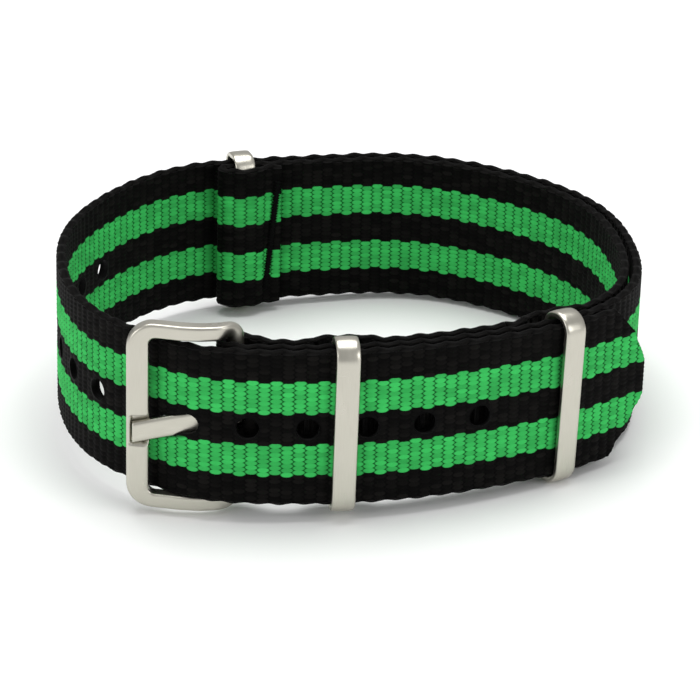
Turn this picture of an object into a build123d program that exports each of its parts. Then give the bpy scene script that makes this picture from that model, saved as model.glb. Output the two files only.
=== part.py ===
from build123d import *
import os
from math import atan2, cos, pi, radians, sin, tan

# A woven nylon watch strap of the one-piece military pattern, closed as it would be round a wrist.
# It stands on its edge. Everything is drawn in the strap's own level frame, where the webbing's
# lower edge lies in the XY plane and the wrist passes along Z, and is then stood on the ground.
# A layer's offset is counted outward, across the webbing, from one smooth loop round the wrist:
# the seam line between the main strap and the layer that lies inside it.

# Webbing
strap_width = 20.0
webbing_thickness = 1.3
layer_gap = 0.2

# The loop: its mean radius, and the share of it that each wave round the loop adds,
# as a cosine and a sine part, from two waves round the loop up to eight
mean_radius = 33.94
fewest_waves = 2
wave_shares = (
    (0.0523, 0.0411), (0.0189, -0.0120), (-0.0184, -0.0152), (0.0033, -0.0029),
    (-0.0010, -0.0006), (-0.0083, 0.0002), (-0.0012, -0.0023),
)

# Directions from the loop's centre, in degrees: the front is at -90 and the right side at 0
bar_direction = -112.04
full_turn = 360.0
path_step = 3.0
fine_step = 1.2
march_step = 0.3
tiny_turn = 0.01
turn_pieces = 6

# Buckle frame: a bent plate with one integral round bar, and its place about that bar
frame_side_clearance = 0.3
frame_sag = 0.1
frame_length = 13.7
frame_thickness = 1.9
side_bar_width = 1.8
end_bar_width = 2.65
frame_end_radius = 3.2
frame_hinge_radius = 1.9
frame_inner_radius = 0.8
frame_rise = 1.45
frame_turn = 8.5
bar_radius = 0.9
bar_inset = 1.0
bar_clearance = 0.15
bar_end_depth = 0.4

# Tang
tang_width = 2.6
tang_thickness = 0.8
tang_eye_clearance = 0.06
tang_tip_inset = 0.7
tang_notch_clearance = 0.15
tang_notch_height = 3.6
tang_slot_clearance = 0.6
tang_root_shift = 0.7
tang_slant = 12.4
tang_hole_distance = 5.75
tang_hole_length = 6.5
tang_hole_width = 3.0
tang_hole_round = 0.7

# Keepers and rear ring: flat wire bent into a long ring, its two long legs across the strap
wire_thickness = 0.9
keeper_wire_width = 2.8
ring_wire_width = 2.7
ring_side_clearance = 0.15
leg_clearance = 0.25
keeper_bend_radius = 0.5
keeper_outer_radius = 1.4
rear_ring_bend_radius = 0.4
rear_ring_outer_radius = 2.3
wire_edge_round = 0.25
near_keeper_distance = 12.75
far_keeper_distance = 39.93
near_keeper_lean = 0.5
far_keeper_lean = 1.5
keeper_travel = 0.8
rear_ring_direction = 115.94
rear_ring_turn = 4.0

# Where the layers start and end, and how far along the strap a layer takes to step over something
fold_back_length = 31.9
short_strap_start = 33.3
tail_straight_distance = 43.05
tail_length = 52.5
tip_cut_upper = 8.0
tip_cut_upper_depth = 5.3
tip_cut_lower = 7.7
tip_cut_lower_depth = 5.5
tail_pieces = 4
step_length = 3.0
bar_step_length = 5.6
ring_step_length = 1.8
tail_climb_length = 9.0
tail_climb_lead = -2.5
ring_fold_length = 2.8
ring_fold_back_length = 5.3
ring_fold_pinch_share = 0.8

# Punched and melted holes
hole_radius = 1.35
tail_hole_distance = 1.9
tail_hole_pitch = 6.7
run_hole_distance = 11.5
run_hole_pitch = 6.42
holes_to_right_of_tang = 5
holes_to_left_of_tang = 8

# Bar tacks: each is a row of stitches through two layers
stitch_count = 8
stitch_pitch = 1.9
stitch_head_length = 1.3
stitch_head_width = 0.7
stitch_head_height = 0.12
stitch_shank_length = 0.8
stitch_shank_width = 0.4
stitch_clearance = 0.04
stitch_standoff = 0.02
buckle_seam_distance = 6.6
near_keeper_seam_distance = 19.0
fold_end_seam_distance = 30.6
short_strap_seam_distance = 34.0
far_keeper_seam_distance = 46.9
ring_seam_distance = 4.1

# How it stands: the buckle lifts the left side and the front a little
lean_angle = 1.55
tip_angle = 1.1
loop_centre_x = -0.75
loop_centre_y = 0.58

frame_height = strap_width + 2 * (frame_side_clearance + side_bar_width)
frame_drop = frame_side_clearance + side_bar_width + frame_sag
ring_inner_height = strap_width + 2 * ring_side_clearance
layer_pitch = webbing_thickness + layer_gap
main_offset = layer_pitch / 2
inner_offset = -layer_pitch / 2
tail_offset = main_offset + layer_pitch
fold_radius = bar_radius + bar_clearance + webbing_thickness / 2
bar_offset = main_offset - fold_radius
leg_space = wire_thickness + 2 * leg_clearance
mid_height = strap_width / 2


def loop_point(direction, offset=0.0):
    """The point of a layer that is seen in a direction from the loop's centre."""
    def base(angle):
        waves = enumerate(wave_shares, fewest_waves)
        swell = sum(c * cos(k * radians(angle)) + s * sin(k * radians(angle)) for k, (c, s) in waves)
        radius = mean_radius * (1 + swell)
        return Vector(radius * cos(radians(angle)), radius * sin(radians(angle)))

    along = (base(direction + tiny_turn) - base(direction - tiny_turn)).normalized()
    return base(direction) + Vector(along.Y, -along.X) * offset


def along_loop(direction):
    """The unit vector along the loop, anticlockwise seen from above."""
    return (loop_point(direction + tiny_turn) - loop_point(direction - tiny_turn)).normalized()


def outward(direction):
    """The unit vector across the webbing, away from the wrist."""
    along = along_loop(direction)
    return Vector(along.Y, -along.X)


def direction_after(distance, start=bar_direction):
    """The direction of the point that lies a distance along the loop from a starting direction."""
    direction, left = start, abs(distance)
    while left > 0:
        reach = (loop_point(direction + march_step) - loop_point(direction)).length
        share = min(1.0, left / reach)
        direction += share * march_step * (1 if distance > 0 else -1)
        left -= reach
    return direction


def eased(share):
    """Goes smoothly from 0 to 1 as the share does."""
    share = min(1.0, max(0.0, share))
    return share * share * (3 - 2 * share)


def pocket(direction, centre, flat_length):
    """1 where a layer steps over a leg of wire, 0 away from it, with a ramp on each side."""
    away = (loop_point(direction) - loop_point(centre)).length
    return 1 - eased((away - flat_length / 2) / step_length)


def ribbon(centre_line):
    """Draws the outline of a layer of webbing about the points of its middle line."""
    sides = ([], [])
    for i, point in enumerate(centre_line):
        before, after = centre_line[max(i - 1, 0)], centre_line[min(i + 1, len(centre_line) - 1)]
        along = (after - before).normalized()
        across = Vector(along.Y, -along.X) * (webbing_thickness / 2)
        sides[0].append(point + across)
        sides[1].append(point - across)
    outer = Spline(*sides[0])
    inner = Spline(*sides[1])
    Line(outer @ 0, inner @ 0)
    Line(outer @ 1, inner @ 1)


def directions(start, end, step=path_step):
    """Evenly spaced directions from one to another, both ends with them."""
    count = max(2, round(abs(end - start) / step))
    return [start + (end - start) * i / count for i in range(count + 1)]


def half_turn(centre, radius, first_angle, sense):
    """The points inside a half circle, its two ends left out."""
    points = []
    for i in range(1, turn_pieces):
        angle = first_angle + sense * pi * i / turn_pieces
        points.append(centre + Vector(cos(angle), sin(angle)) * radius)
    return points


near_keeper_direction = direction_after(near_keeper_distance)
far_keeper_direction = direction_after(far_keeper_distance)
pocket_depth = leg_space - layer_gap

# Middle lines of the two pieces of webbing


def fold_back_offset(direction):
    """The buckle end's inner layer: wide at the bar, and stepped over the near keeper's leg."""
    at_bar = 1 - eased((loop_point(direction) - loop_point(bar_direction)).length / bar_step_length)
    at_keeper = pocket(direction, near_keeper_direction, keeper_wire_width + 2 * keeper_travel)
    at_bar_offset = bar_offset - fold_radius
    return inner_offset + (at_bar_offset - inner_offset) * at_bar - pocket_depth * at_keeper


def main_line_offset(direction):
    """The main strap's outer run: it climbs on to its own buckle end where the turn closes."""
    tail_start = direction_after(tail_climb_lead, bar_direction + full_turn)
    left = (loop_point(tail_start) - loop_point(direction)).length
    if direction < bar_direction + full_turn / 2:
        return main_offset
    climb = eased(1 - left / tail_climb_length) if direction < tail_start else 1.0
    return main_offset + (tail_offset - main_offset) * climb


def short_strap_offset(direction):
    """The short strap's run: stepped over the far keeper's leg."""
    flat_length = keeper_wire_width + 2 * keeper_travel
    return inner_offset - pocket_depth * pocket(direction, far_keeper_direction, flat_length)


bar_centre = loop_point(bar_direction, bar_offset)
bar_outward = outward(bar_direction)
fold_end_direction = direction_after(fold_back_length)
tail_straight_direction = direction_after(tail_straight_distance, bar_direction + full_turn)

main_line = []
for d in directions(fold_end_direction, bar_direction, fine_step):
    main_line.append(loop_point(d, fold_back_offset(d)))
inward_angle = atan2(-bar_outward.Y, -bar_outward.X)
main_line += half_turn(bar_centre, fold_radius, inward_angle, 1)
for d in directions(bar_direction, tail_straight_direction):
    main_line.append(loop_point(d, main_line_offset(d)))
tail_run = tail_length - tail_straight_distance
tail_start = loop_point(tail_straight_direction, tail_offset)
tail_along = along_loop(tail_straight_direction)
for i in range(1, tail_pieces + 1):
    main_line.append(tail_start + tail_along * tail_run * i / tail_pieces)

ring_fold_direction = direction_after(ring_fold_length, rear_ring_direction)
ring_leg_offset = inner_offset - webbing_thickness / 2 - leg_clearance - wire_thickness / 2
fold_back_at_ring = ring_leg_offset - wire_thickness / 2 - leg_clearance - webbing_thickness / 2
fold_back_at_seam = inner_offset - layer_pitch
ring_fold_radius = (inner_offset - fold_back_at_ring) / 2 * ring_fold_pinch_share
ring_fold_end = direction_after(-ring_fold_back_length, rear_ring_direction)


def ring_fold_offset(direction):
    """The layer folded back over the rear ring's leg, down to where it is sewn."""
    away = (loop_point(direction) - loop_point(rear_ring_direction)).length
    share = 1 - eased((away - ring_wire_width / 2 - leg_clearance) / ring_step_length)
    return fold_back_at_seam + (fold_back_at_ring - fold_back_at_seam) * share


short_start_direction = direction_after(short_strap_start)
pocket_end_direction = direction_after(far_keeper_seam_distance)
short_directions = directions(short_start_direction, pocket_end_direction, fine_step)
short_directions += directions(pocket_end_direction, ring_fold_direction)[1:]
short_line = [loop_point(d, short_strap_offset(d)) for d in short_directions]
fold_outward = outward(ring_fold_direction)
turn_centre = loop_point(ring_fold_direction, inner_offset - ring_fold_radius)
short_line += half_turn(turn_centre, ring_fold_radius, atan2(fold_outward.Y, fold_outward.X), 1)
turn_end = direction_after(ring_wire_width / 2, rear_ring_direction)
for d in directions(turn_end, ring_fold_end, fine_step):
    short_line.append(loop_point(d, ring_fold_offset(d)))

# Stand the strap on the ground: the lowest of its edge, buckle, keepers and ring touches it
ring_drop = (ring_inner_height - strap_width) / 2 + wire_thickness
tilt = Location((0, 0, 0), (-tip_angle, lean_angle, 0))


def tilted_height(point, height):
    """The height of a point once the strap leans."""
    return (tilt * Pos(point.X, point.Y, height)).position.Z


touching = [tilted_height(loop_point(d), 0) for d in directions(0, full_turn)]
touching.append(tilted_height(bar_centre, -frame_drop))
for d in (near_keeper_direction, far_keeper_direction, rear_ring_direction):
    half_wire = along_loop(d) * (keeper_wire_width / 2)
    touching.append(tilted_height(loop_point(d, main_offset) + half_wire, -ring_drop))
    touching.append(tilted_height(loop_point(d, main_offset) - half_wire, -ring_drop))
stand = Pos(loop_centre_x, loop_centre_y, -min(touching)) * tilt


def standing(origin, x_dir, z_dir):
    """A sketch plane given in the strap's level frame, moved with the strap as it stands."""
    plane = Plane(origin=origin, x_dir=x_dir, z_dir=z_dir)
    return Plane(stand * plane.location)


def across_strap(direction, offset, height=mid_height):
    """A plane that faces outward from a layer: its x runs along the strap and its y up."""
    at = loop_point(direction, offset)
    return standing(Vector(at.X, at.Y, height), along_loop(direction), outward(direction))


ring_seam_direction = direction_after(-ring_seam_distance, rear_ring_direction)
seams = {
    "buckle_end_stitching": (direction_after(buckle_seam_distance), main_offset, inner_offset),
    "near_keeper_stitching": (direction_after(near_keeper_seam_distance), main_offset, inner_offset),
    "fold_end_stitching": (direction_after(fold_end_seam_distance), main_offset, inner_offset),
    "short_strap_stitching": (direction_after(short_strap_seam_distance), main_offset, inner_offset),
    "far_keeper_stitching": (direction_after(far_keeper_seam_distance), main_offset, inner_offset),
    "ring_fold_stitching": (ring_seam_direction, inner_offset, fold_back_at_seam),
}
seam_depth = layer_pitch + webbing_thickness + 2 * stitch_standoff
needle_reach = (seam_depth + layer_gap) / 2


def stitch_row(seam_name, length, width, side=0):
    """One bar tack's stitches as rectangles, in its middle plane or on one of its two faces."""
    direction, upper, lower = seams[seam_name]
    face_offset = (upper + lower) / 2 + side * seam_depth / 2
    with BuildSketch(across_strap(direction, face_offset)) as row:
        with GridLocations(stitch_pitch, stitch_pitch, 1, stitch_count):
            Rectangle(length, width)
    return row.sketch


def needle_slots(seam_name):
    """The needle holes of one bar tack."""
    gap = 2 * stitch_clearance
    return stitch_row(seam_name, stitch_shank_length + gap, stitch_shank_width + gap)


bar_again = bar_direction + full_turn
tang_hole_direction = direction_after(-tang_hole_distance, bar_again)
tang_root_height = mid_height + tang_root_shift
tang_hole_height = tang_root_height - tang_hole_distance * tan(radians(tang_slant))
hole_distances = [tail_hole_distance + i * tail_hole_pitch for i in range(holes_to_right_of_tang)]
hole_distances += [-run_hole_distance - i * run_hole_pitch for i in range(holes_to_left_of_tang)]

# What the hot punch and the needles take out of it: the hole that the tang has pulled long, the
# round ones on both sides of it, and the needle holes
with BuildPart() as punches:
    hole_offset = main_line_offset(tang_hole_direction)
    with BuildSketch(across_strap(tang_hole_direction, hole_offset, tang_hole_height)):
        RectangleRounded(tang_hole_length, tang_hole_width, tang_hole_round, rotation=tang_slant)
    extrude(amount=webbing_thickness, both=True)
    for distance in hole_distances:
        d = direction_after(distance, bar_again)
        with BuildSketch(across_strap(d, main_line_offset(d))):
            Circle(hole_radius)
        extrude(amount=(webbing_thickness + layer_gap) / 2, both=True)
    for seam_name in seams:
        if seam_name != "ring_fold_stitching":
            extrude(needle_slots(seam_name), amount=needle_reach, both=True)

# Main strap: one piece, from its sewn buckle end, round the wrist and back out to the loose tip
with BuildPart() as main_strap:
    with BuildSketch(standing((0, 0, 0), (1, 0, 0), (0, 0, 1))):
        with BuildLine():
            ribbon(main_line)
        make_face()
    extrude(amount=strap_width)
    # Slot through the fold, where the tang's eye turns on the bar
    with BuildSketch(standing(Vector(bar_centre.X, bar_centre.Y, tang_root_height), (1, 0, 0), (0, 0, 1))):
        Circle(fold_radius + webbing_thickness / 2 + layer_gap / 2)
    extrude(amount=tang_width / 2 + tang_slot_clearance, both=True, mode=Mode.SUBTRACT)
    add(punches.part, mode=Mode.SUBTRACT)
    # The loose tip: both corners cut off with a hot knife
    tip_plane = standing(tail_start + tail_along * tail_run, tail_along, outward(tail_straight_direction))
    with BuildSketch(tip_plane):
        with BuildLine():
            Polyline((0, 0), (-tip_cut_lower_depth, 0), (0, tip_cut_lower), close=True)
        make_face()
        with BuildLine():
            upper_cut = strap_width - tip_cut_upper
            Polyline((0, strap_width), (-tip_cut_upper_depth, strap_width), (0, upper_cut), close=True)
        make_face()
    extrude(amount=webbing_thickness, both=True, mode=Mode.SUBTRACT)
main_strap.part.label = "main_strap"

# Short strap: sewn under the main strap, round the back to its fold over the rear ring's inner leg
with BuildPart() as short_strap:
    with BuildSketch(standing((0, 0, 0), (1, 0, 0), (0, 0, 1))):
        with BuildLine():
            ribbon(short_line)
        make_face()
    extrude(amount=strap_width)
    for seam_name in ("short_strap_stitching", "far_keeper_stitching", "ring_fold_stitching"):
        extrude(needle_slots(seam_name), amount=needle_reach, both=True, mode=Mode.SUBTRACT)
short_strap.part.label = "short_strap"

# Bar tacks
stitching = {}
for seam_name, (direction, upper, lower) in seams.items():
    with BuildPart() as seam:
        shanks = stitch_row(seam_name, stitch_shank_length, stitch_shank_width)
        extrude(shanks, amount=(seam_depth + stitch_head_height) / 2, both=True)
        for side in (1, -1):
            heads = stitch_row(seam_name, stitch_head_length, stitch_head_width, side)
            extrude(heads, amount=side * stitch_head_height)
    seam.part.label = seam_name
    stitching[seam_name] = seam

# Buckle frame: its long axis runs from the bar to the end bar, a little off the loop's own line
frame_axis = -along_loop(bar_direction).rotate(Axis.Z, frame_turn)
frame_outward = Vector(-frame_axis.Y, frame_axis.X)
frame_reach = frame_length - bar_inset
tang_reach = frame_reach - tang_tip_inset
frame_top = frame_height - frame_drop
frame_middle = frame_top - frame_height / 2


def in_frame(along, rise):
    """A point of the buckle in plan: its distance from the bar's middle, and its rise outward."""
    return bar_centre + frame_axis * along + frame_outward * rise


# The side bars swell outward between the bar and the end bar, which lies level with the bar
side_profile_shares = ((-0.08, -0.35), (0.0, 0.0), (0.16, 0.85), (0.32, 1.0), (0.5, 0.85), (0.68, 0.45))
end_bar_rise_share = 0.25
tang_profile_shares = ((0.0, 0.0), (0.2, 0.0), (0.45, 0.4), (0.75, 1.05), (1.0, 1.0))


def plate_edge(shift):
    """One edge of the bent plate in plan: a curve over the side bars and a flat end bar."""
    points = [in_frame(frame_reach * a, frame_rise * r + shift) for a, r in side_profile_shares]
    level = frame_rise * end_bar_rise_share + shift
    return points, in_frame(frame_reach - end_bar_width, level), in_frame(frame_reach, level)


frame_face = standing(
    Vector(bar_centre.X, bar_centre.Y, frame_middle), frame_axis, Vector(-frame_outward.X, -frame_outward.Y)
)
end_bar_rise = frame_rise * end_bar_rise_share
with BuildPart() as buckle_frame:
    with BuildSketch(standing((0, 0, -frame_drop), (1, 0, 0), (0, 0, 1))):
        with BuildLine():
            outer_points, outer_start, outer_end = plate_edge(frame_thickness / 2)
            inner_points, inner_start, inner_end = plate_edge(-frame_thickness / 2)
            Spline(*outer_points, outer_start)
            Spline(*inner_points, inner_start)
            Polyline(outer_start, outer_end, inner_end, inner_start)
            Line(outer_points[0], inner_points[0])
        make_face()
    extrude(amount=frame_height)
    with BuildSketch(frame_face):
        with Locations(((frame_reach - bar_inset) / 2, 0)):
            Rectangle(frame_length, frame_height)
        corners = vertices().sort_by(Axis.X)
        fillet(corners[-2:], frame_end_radius)
        fillet(corners[:2], frame_hinge_radius)
    extrude(amount=frame_length, both=True, mode=Mode.INTERSECT)
    with BuildSketch(frame_face):
        with Locations((frame_reach - end_bar_width - frame_length / 2, 0)):
            RectangleRounded(frame_length, frame_height - 2 * side_bar_width, frame_inner_radius)
    extrude(amount=frame_length, both=True, mode=Mode.SUBTRACT)
    # Notch in the end bar's outer face, where the tang's tip lies flush
    notch_floor = end_bar_rise + frame_thickness / 2 - tang_thickness - tang_notch_clearance
    notch_end = frame_reach - tang_tip_inset + tang_notch_clearance
    notch_middle = in_frame(notch_end - end_bar_width / 2, notch_floor)
    notch_low = tang_root_height - tang_reach * tan(radians(tang_slant)) - tang_width / 2
    notch_height = notch_low - tang_notch_clearance + tang_notch_height / 2
    notch_place = Vector(notch_middle.X, notch_middle.Y, notch_height)
    with BuildSketch(standing(notch_place, frame_axis, -frame_outward)):
        Rectangle(end_bar_width, tang_notch_height)
    extrude(amount=-frame_thickness, mode=Mode.SUBTRACT)
    # The bar, one with the side bars' ends
    with BuildSketch(standing(Vector(bar_centre.X, bar_centre.Y, frame_middle), (1, 0, 0), (0, 0, 1))):
        Circle(bar_radius)
    extrude(amount=frame_height / 2 - side_bar_width + bar_end_depth, both=True)
buckle_frame.part.label = "buckle_frame"

# Tang: a strip closed into an eye on the bar, out through the strap and down into the notch, and
# bent a little sideways where it leaves the eye
eye_inner_radius = bar_radius + tang_eye_clearance
eye_middle = eye_inner_radius + tang_thickness / 2
tip_rise = end_bar_rise + frame_thickness / 2 - tang_thickness / 2
slope = tan(radians(tang_slant))
side_shift = tang_width / 2 / cos(radians(tang_slant))
bend = (side_shift - tang_width / 2) / slope
with BuildPart() as tang:
    with BuildSketch(standing(Vector(bar_centre.X, bar_centre.Y, mid_height), frame_axis, (0, 0, 1))):
        Circle(eye_inner_radius + tang_thickness)
        with BuildLine():
            tang_lines = []
            for side in (1, -1):
                shift = side * tang_thickness / 2
                rises = [(a, eye_middle + (tip_rise - eye_middle) * r) for a, r in tang_profile_shares]
                arm = [(tang_reach * a, rise + shift) for a, rise in rises]
                tang_lines.append(Spline(*arm))
            Line(tang_lines[0] @ 0, tang_lines[1] @ 0)
            Line(tang_lines[0] @ 1, tang_lines[1] @ 1)
        make_face()
        Circle(eye_inner_radius, mode=Mode.SUBTRACT)
    extrude(amount=mid_height, both=True)
    root = Vector(bar_centre.X, bar_centre.Y, tang_root_height)
    with BuildSketch(standing(root, frame_axis, -frame_outward)):
        with BuildLine():
            low, high = -slope * tang_reach - side_shift, -slope * tang_reach + side_shift
            eye_side = [(-bend, -tang_width / 2), (-2 * eye_middle, -tang_width / 2)]
            eye_side += [(-2 * eye_middle, tang_width / 2), (bend, tang_width / 2)]
            Polyline((tang_reach, high), (tang_reach, low), *eye_side, close=True)
        make_face()
    extrude(amount=frame_length, both=True, mode=Mode.INTERSECT)
tang.part.label = "tang"


def wire_ring(direction, middle_offset, clear_radius, outer_radius, wire_width, turn):
    """A flat wire ring round two layers of webbing at a direction, leaned or turned on them."""
    at = loop_point(direction, middle_offset)
    plane = standing(Vector(at.X, at.Y, mid_height), outward(direction), -along_loop(direction))
    plane = Plane(plane.location * Location((0, 0, 0), turn))
    with BuildPart() as ring:
        with BuildSketch(plane):
            outer_depth = ring_depth + 2 * wire_thickness
            RectangleRounded(outer_depth, ring_inner_height + 2 * wire_thickness, outer_radius)
            RectangleRounded(ring_depth, ring_inner_height, clear_radius, mode=Mode.SUBTRACT)
        extrude(amount=wire_width / 2, both=True)
        rims = faces().sort_by(Axis(plane.origin, plane.z_dir))
        fillet(rims[0].outer_wire().edges() + rims[-1].outer_wire().edges(), wire_edge_round)
    return ring


ring_depth = 2 * webbing_thickness + layer_gap + 2 * leg_clearance
keeper_middle = (main_offset + tail_offset) / 2
keeper_shape = (keeper_bend_radius, keeper_outer_radius, keeper_wire_width)
near_keeper = wire_ring(near_keeper_direction, keeper_middle, *keeper_shape, (-near_keeper_lean, 0, 0))
near_keeper.part.label = "near_keeper"
far_keeper = wire_ring(far_keeper_direction, keeper_middle, *keeper_shape, (-far_keeper_lean, 0, 0))
far_keeper.part.label = "far_keeper"
ring_shape = (rear_ring_bend_radius, rear_ring_outer_radius, ring_wire_width)
rear_ring = wire_ring(rear_ring_direction, 0, *ring_shape, (0, rear_ring_turn, 0))
rear_ring.part.label = "rear_ring"

fittings = [buckle_frame, tang, near_keeper, far_keeper, rear_ring]
pieces = [main_strap, short_strap, *stitching.values(), *fittings]
os.makedirs("parts", exist_ok=True)
for piece in pieces:
    print(piece.part.label, len(piece.solids()), round(piece.part.volume, 1))
    export_step(piece.part, f"parts/{piece.part.label}.step")
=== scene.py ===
# %% [markdown]
# # A striped nylon pass-through watch strap
# The strap is closed as round a wrist and stands on its edge. Its steel fittings and its two pieces
# of webbing come packed as plain solids in their real places. This script gives each of them the
# surface of the real one: webbing woven thread by thread, satin steel with softened edges, and
# sewing thread in short bar tacks. All lengths below are in millimetres until a mesh is made.

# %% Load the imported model
from math import atan2, cos, pi, radians, sin, tan

import bpy
import numpy as np
from mathutils import Matrix, Vector


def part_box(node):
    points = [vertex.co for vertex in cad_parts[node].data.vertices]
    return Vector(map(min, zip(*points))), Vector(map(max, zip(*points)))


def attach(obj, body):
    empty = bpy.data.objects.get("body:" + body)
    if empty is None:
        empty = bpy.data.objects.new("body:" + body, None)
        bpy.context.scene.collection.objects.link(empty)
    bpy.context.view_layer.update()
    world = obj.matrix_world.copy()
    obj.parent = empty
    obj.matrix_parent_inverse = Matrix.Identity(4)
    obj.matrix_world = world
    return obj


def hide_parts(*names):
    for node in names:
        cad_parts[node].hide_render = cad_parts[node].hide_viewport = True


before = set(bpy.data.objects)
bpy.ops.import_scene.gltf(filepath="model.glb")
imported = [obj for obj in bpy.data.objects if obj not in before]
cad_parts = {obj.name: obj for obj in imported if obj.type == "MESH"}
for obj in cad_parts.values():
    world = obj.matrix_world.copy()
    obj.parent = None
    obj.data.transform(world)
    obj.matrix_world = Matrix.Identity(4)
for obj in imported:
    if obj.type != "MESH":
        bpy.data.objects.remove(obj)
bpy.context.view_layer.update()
mm = 0.001

# %% [markdown]
# ## Colours and nodes
# A colour is written as the sRGB hex value that a colour picker would show, and one function turns
# it to the linear numbers that shaders work with. One more small function adds a shader node of any
# kind with its settings and its links, so that each material below reads as a list of steps. The
# Principled shader that a material starts with is filled in the same way.

# %% Helpers for colours and shader nodes


def linear(hex_colour):
    """An sRGB hex colour as linear red, green, blue and alpha."""
    channels = [int(hex_colour[i:i + 2], 16) / 255 for i in (1, 3, 5)]
    return (*[c / 12.92 if c <= 0.04045 else ((c + 0.055) / 1.055) ** 2.4 for c in channels], 1.0)


def fill(tree, node, settings=None, **links):
    """Fills in a node. Settings are properties or input values; links join sockets to inputs."""
    for key, value in (settings or {}).items():
        if isinstance(key, str) and hasattr(node, key):
            setattr(node, key, value)
        else:
            node.inputs[key].default_value = value
    for key, socket in links.items():
        name = key.strip("_").replace("_", " ")
        target = node.inputs[int(name)] if name.isdigit() else node.inputs[name]
        tree.links.new(socket, target)
    return node


def add(tree, kind, settings=None, **links):
    """Adds a node with its settings and links."""
    return fill(tree, tree.nodes.new("ShaderNode" + kind), settings, **links)


def new_material(name):
    """A material with an empty node tree apart from a Principled shader and its output."""
    material = bpy.data.materials.new(name)
    material.use_nodes = True
    tree = material.node_tree
    return material, tree, tree.nodes["Principled BSDF"]


print("middle grey as a linear value:", round(linear("#808080")[0], 3))

# %% [markdown]
# ## The loop
# Every layer of webbing follows one smooth closed curve round the wrist, at its own distance out
# from it. The curve is a circle with a few waves on it. The same formula places the solids, so the
# woven strap lies exactly where they are. It could also be traced with a Bezier curve by hand, but
# then it would only be near them.

# %% The loop's formula
strap_width = 20.0
webbing_thickness = 1.3
layer_gap = 0.2
mean_radius = 33.94
fewest_waves = 2
wave_shares = (
    (0.0523, 0.0411), (0.0189, -0.0120), (-0.0184, -0.0152), (0.0033, -0.0029),
    (-0.0010, -0.0006), (-0.0083, 0.0002), (-0.0012, -0.0023),
)
bar_direction = -112.04
full_turn = 360.0
lean_angle = 1.55
tip_angle = 1.1
loop_centre_x = -0.75
loop_centre_y = 0.58


def loop_base(direction):
    """Points of the bare loop at directions in degrees, as rows of x and y."""
    angle = np.radians(np.atleast_1d(np.asarray(direction, float)))
    waves = enumerate(wave_shares, fewest_waves)
    swell = sum(c * np.cos(k * angle) + s * np.sin(k * angle) for k, (c, s) in waves)
    radius = mean_radius * (1 + swell)
    return np.stack([radius * np.cos(angle), radius * np.sin(angle)], 1)


def along_loop(direction):
    """Unit vectors along the loop, anticlockwise seen from above."""
    step = loop_base(np.asarray(direction) + 0.01) - loop_base(np.asarray(direction) - 0.01)
    return step / np.linalg.norm(step, axis=1, keepdims=True)


def loop_point(direction, offset=0.0):
    """Points at an offset outward from the loop."""
    along = along_loop(direction)
    outward = np.stack([along[:, 1], -along[:, 0]], 1)
    return loop_base(direction) + outward * np.atleast_1d(offset)[:, None]


# %% Lengths and directions along a line


def lengths_along(line):
    """The distance along a line from its start to each of its points."""
    return np.concatenate([[0], np.cumsum(np.linalg.norm(np.diff(line, axis=0), axis=1))])


def unit_tangents(line):
    """The direction of a line at each of its points."""
    tangent = np.gradient(line, axis=0)
    return tangent / np.linalg.norm(tangent, axis=1, keepdims=True)


march = np.arange(-full_turn, 2 * full_turn, 0.1)
march_length = lengths_along(loop_base(march))


def direction_after(distance, start=bar_direction):
    """The direction of the point a distance along the loop from a starting direction."""
    return float(np.interp(np.interp(start, march, march_length) + distance, march_length, march))


def distance_between(direction, centre):
    """How far along the loop directions lie from a centre, in mm, always positive."""
    return np.abs(np.interp(direction, march, march_length) - np.interp(centre, march, march_length))


def eased(share):
    """Goes smoothly from 0 to 1 as the share does."""
    share = np.clip(share, 0.0, 1.0)
    return share * share * (3 - 2 * share)


print("loop length:", round(float(distance_between(0, full_turn)), 1), "mm")

# %% [markdown]
# ## The layers
# The main strap starts under the front, folds round the buckle's bar, goes right round the wrist,
# climbs on to its own buckle end and runs out to the tip. The short strap lies inside it and ends
# in a fold round the rear ring. Each line below gives the middle of a piece of webbing as a list of
# close points in plan, seen from above.

# %% How far out the layers lie
bar_radius = 0.9
bar_clearance = 0.15
wire_thickness = 0.9
leg_clearance = 0.25
keeper_wire_width = 2.8
keeper_travel = 0.8
near_keeper_distance = 12.75
far_keeper_distance = 39.93
tail_straight_distance = 43.05
step_length = 3.0
bar_step_length = 5.6
tail_climb_length = 9.0
tail_climb_lead = -2.5
layer_pitch = webbing_thickness + layer_gap
main_offset = layer_pitch / 2
inner_offset = -layer_pitch / 2
tail_offset = main_offset + layer_pitch
fold_radius = bar_radius + bar_clearance + webbing_thickness / 2
bar_offset = main_offset - fold_radius
pocket_depth = wire_thickness + 2 * leg_clearance - layer_gap
near_keeper_direction = direction_after(near_keeper_distance)
far_keeper_direction = direction_after(far_keeper_distance)
tail_start_direction = bar_direction + full_turn
tail_climb_end = direction_after(tail_climb_lead, tail_start_direction)
tail_straight_direction = direction_after(tail_straight_distance, tail_start_direction)


def pocket(direction, centre):
    """1 where a layer steps over a leg of wire, 0 away from it, with a ramp on each side."""
    flat_length = keeper_wire_width + 2 * keeper_travel
    return 1 - eased((distance_between(direction, centre) - flat_length / 2) / step_length)


def fold_back_offset(direction):
    """The buckle end's inner layer: wide at the bar, stepped over the near keeper's leg."""
    at_bar = 1 - eased(distance_between(direction, bar_direction) / bar_step_length)
    at_bar_offset = bar_offset - fold_radius
    at_keeper = pocket(direction, near_keeper_direction)
    return inner_offset + (at_bar_offset - inner_offset) * at_bar - pocket_depth * at_keeper


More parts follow.
